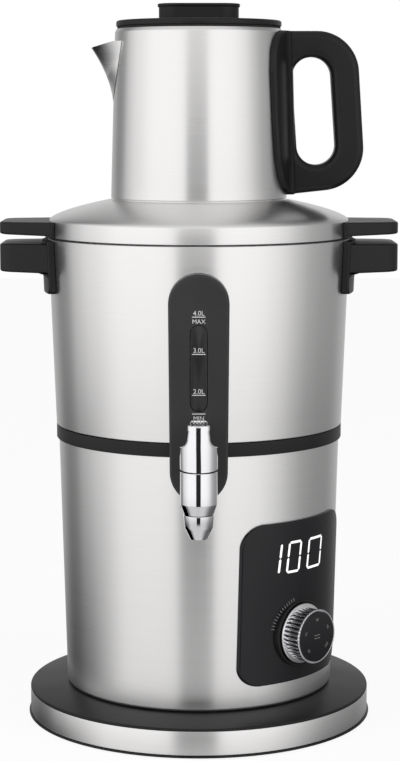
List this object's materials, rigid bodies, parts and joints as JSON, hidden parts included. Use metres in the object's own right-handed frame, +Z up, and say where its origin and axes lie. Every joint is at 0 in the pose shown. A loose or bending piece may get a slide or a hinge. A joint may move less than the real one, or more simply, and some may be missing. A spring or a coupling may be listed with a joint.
{
  "type": "electric samovar",
  "caption": "Electric samovar: a tapered steel water tank on a round heated base, with a tap, a level gauge, a control dial, side grips and a lift-off teapot on its lid.",
  "frame": {"origin": "on the floor under the middle of the round base, on the samovar's upright axis", "axes": "+Z up, -Y out of the front where the tap is, +X towards the side of the teapot handle"},
  "size_m": [0.294, 0.2815, 0.5341],
  "materials": {
    "brushed_steel": "fine horizontal brushing",
    "inner_steel": "plain, dull",
    "black_plastic": "satin black",
    "gloss_black": "polished black",
    "rubber": "matt black",
    "silicone": "translucent grey silicone",
    "chrome": "polished",
    "zinc_steel": "zinc plated",
    "aluminium": "cast, plain",
    "glass": "clear tube",
    "smoked_lens": "smoked, polished",
    "board_green": "solder-masked board",
    "part_white": "plain"
  },
  "bodies": {
    "base": {"base_pan": "black_plastic", "base_trim_band": "brushed_steel", "base_foot_1": "rubber", "base_foot_2": "rubber", "base_foot_3": "rubber", "base_foot_4": "rubber", "base_top_plate": "black_plastic", "base_screw_1": "zinc_steel", "base_screw_2": "zinc_steel", "base_screw_3": "zinc_steel", "lower_shell": "brushed_steel", "cord_gland": "rubber", "middle_band": "black_plastic", "tank": "brushed_steel", "tank_handle_right": "black_plastic", "tank_handle_left": "black_plastic", "tank_handle_screw_left_front": "zinc_steel", "tank_handle_screw_left_rear": "zinc_steel", "tank_handle_screw_right_front": "zinc_steel", "tank_handle_screw_right_rear": "zinc_steel", "gauge_panel": "black_plastic", "gauge_window": "smoked_lens", "gauge_tube": "glass", "gauge_elbow_lower": "silicone", "gauge_elbow_upper": "silicone", "tap_body": "chrome", "tap_nozzle": "chrome", "tap_flange": "chrome", "tap_washer": "silicone", "tap_nut": "zinc_steel", "tap_bonnet": "zinc_steel", "tap_pivot_pin": "zinc_steel", "tap_spring": "zinc_steel", "control_panel": "gloss_black", "dial_bezel": "black_plastic", "control_board": "board_green", "display_module": "part_white", "encoder_body": "zinc_steel", "power_board": "board_green", "heater_plate": "aluminium", "heater_ring": "inner_steel", "thermal_cutout": "part_white", "temperature_sensor": "zinc_steel"},
    "tank_lid": {"tank_lid": "brushed_steel", "lid_handle_left": "black_plastic", "lid_handle_right": "black_plastic"},
    "teapot": {"teapot_vessel": "brushed_steel", "teapot_spout": "brushed_steel", "teapot_handle": "black_plastic"},
    "teapot_lid": {"teapot_lid": "black_plastic", "teapot_lid_seal": "rubber", "lid_knob": "black_plastic", "lid_knob_screw": "zinc_steel"},
    "tap_lever": {"tap_lever": "chrome"},
    "tap_stem": {"tap_stem": "zinc_steel", "tap_seal": "silicone"},
    "encoder_rotor": {"encoder_rotor": "part_white"},
    "dial": {"dial_knob": "chrome", "dial_cap": "gloss_black", "encoder_shaft": "zinc_steel"}
  },
  "joints": [
    {"name": "tank_lid_lift", "type": "slide", "parent": "base", "child": "tank_lid", "axis": [0, 0, 1], "range_m": [0, 0.1]},
    {"name": "teapot_lift", "type": "slide", "parent": "tank_lid", "child": "teapot", "axis": [0, 0, 1], "range_m": [0, 0.1]},
    {"name": "teapot_lid_lift", "type": "slide", "parent": "teapot", "child": "teapot_lid", "axis": [0, 0, 1], "range_m": [0, 0.08]},
    {"name": "tap_lever_rock", "type": "hinge", "parent": "base", "child": "tap_lever", "pos_m": [0, -0.1315, 0.2178], "axis": [-1, 0, 0], "range_deg": [0, 15], "stiffness_Nm_per_rad": 0.4, "springref_deg": -8.59},
    {"name": "tap_stem_lift", "type": "slide", "parent": "base", "child": "tap_stem", "axis": [0, 0, 1], "range_m": [0, 0.0022], "deforming": ["tap_spring"]},
    {"name": "dial_turn", "type": "hinge", "parent": "base", "child": "encoder_rotor", "pos_m": [0.07108, -0.07034, 0.078], "axis": [0.7108, -0.7034, 0], "continuous": true},
    {"name": "dial_press", "type": "slide", "parent": "encoder_rotor", "child": "dial", "axis": [-0.7108, 0.7034, 0], "range_m": [0, 0.0007], "stiffness_N_per_m": 800, "springref_m": -0.002}
  ],
  "couplings": [
    {"joint": "tap_stem_lift", "follows": "tap_lever_rock", "m_per_rad": 0.008}
  ]
}
